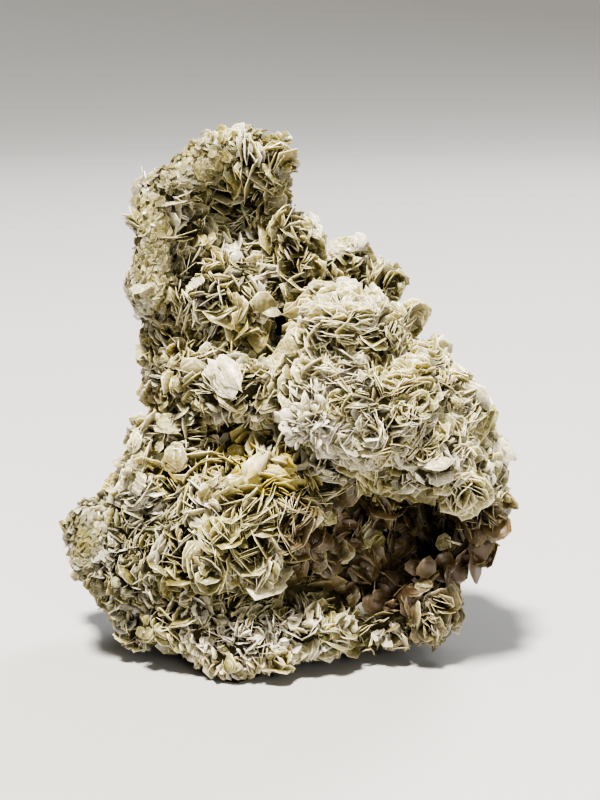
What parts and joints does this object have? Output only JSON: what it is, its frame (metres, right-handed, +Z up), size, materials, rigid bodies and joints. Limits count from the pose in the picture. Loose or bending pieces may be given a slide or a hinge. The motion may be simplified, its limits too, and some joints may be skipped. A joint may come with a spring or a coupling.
{
  "type": "mica crystal cluster",
  "caption": "Hand-sized cluster of intergrown mica crystals: a knobbly body covered all over in fans of thin plates, with a tower, a dome and a deep hollow.",
  "frame": {"origin": "middle of the outline seen from above, on the plane that the specimen rests on", "axes": "+Z up the tower, -Y the show side with the deep hollow at its lower right, +X to the dome's side"},
  "size_m": [0.0914, 0.0562, 0.1064],
  "materials": {
    "mica": "pearly, pale olive to cream plates"
  },
  "bodies": {
    "root": {"mica_cluster": "mica"}
  },
  "joints": []
}
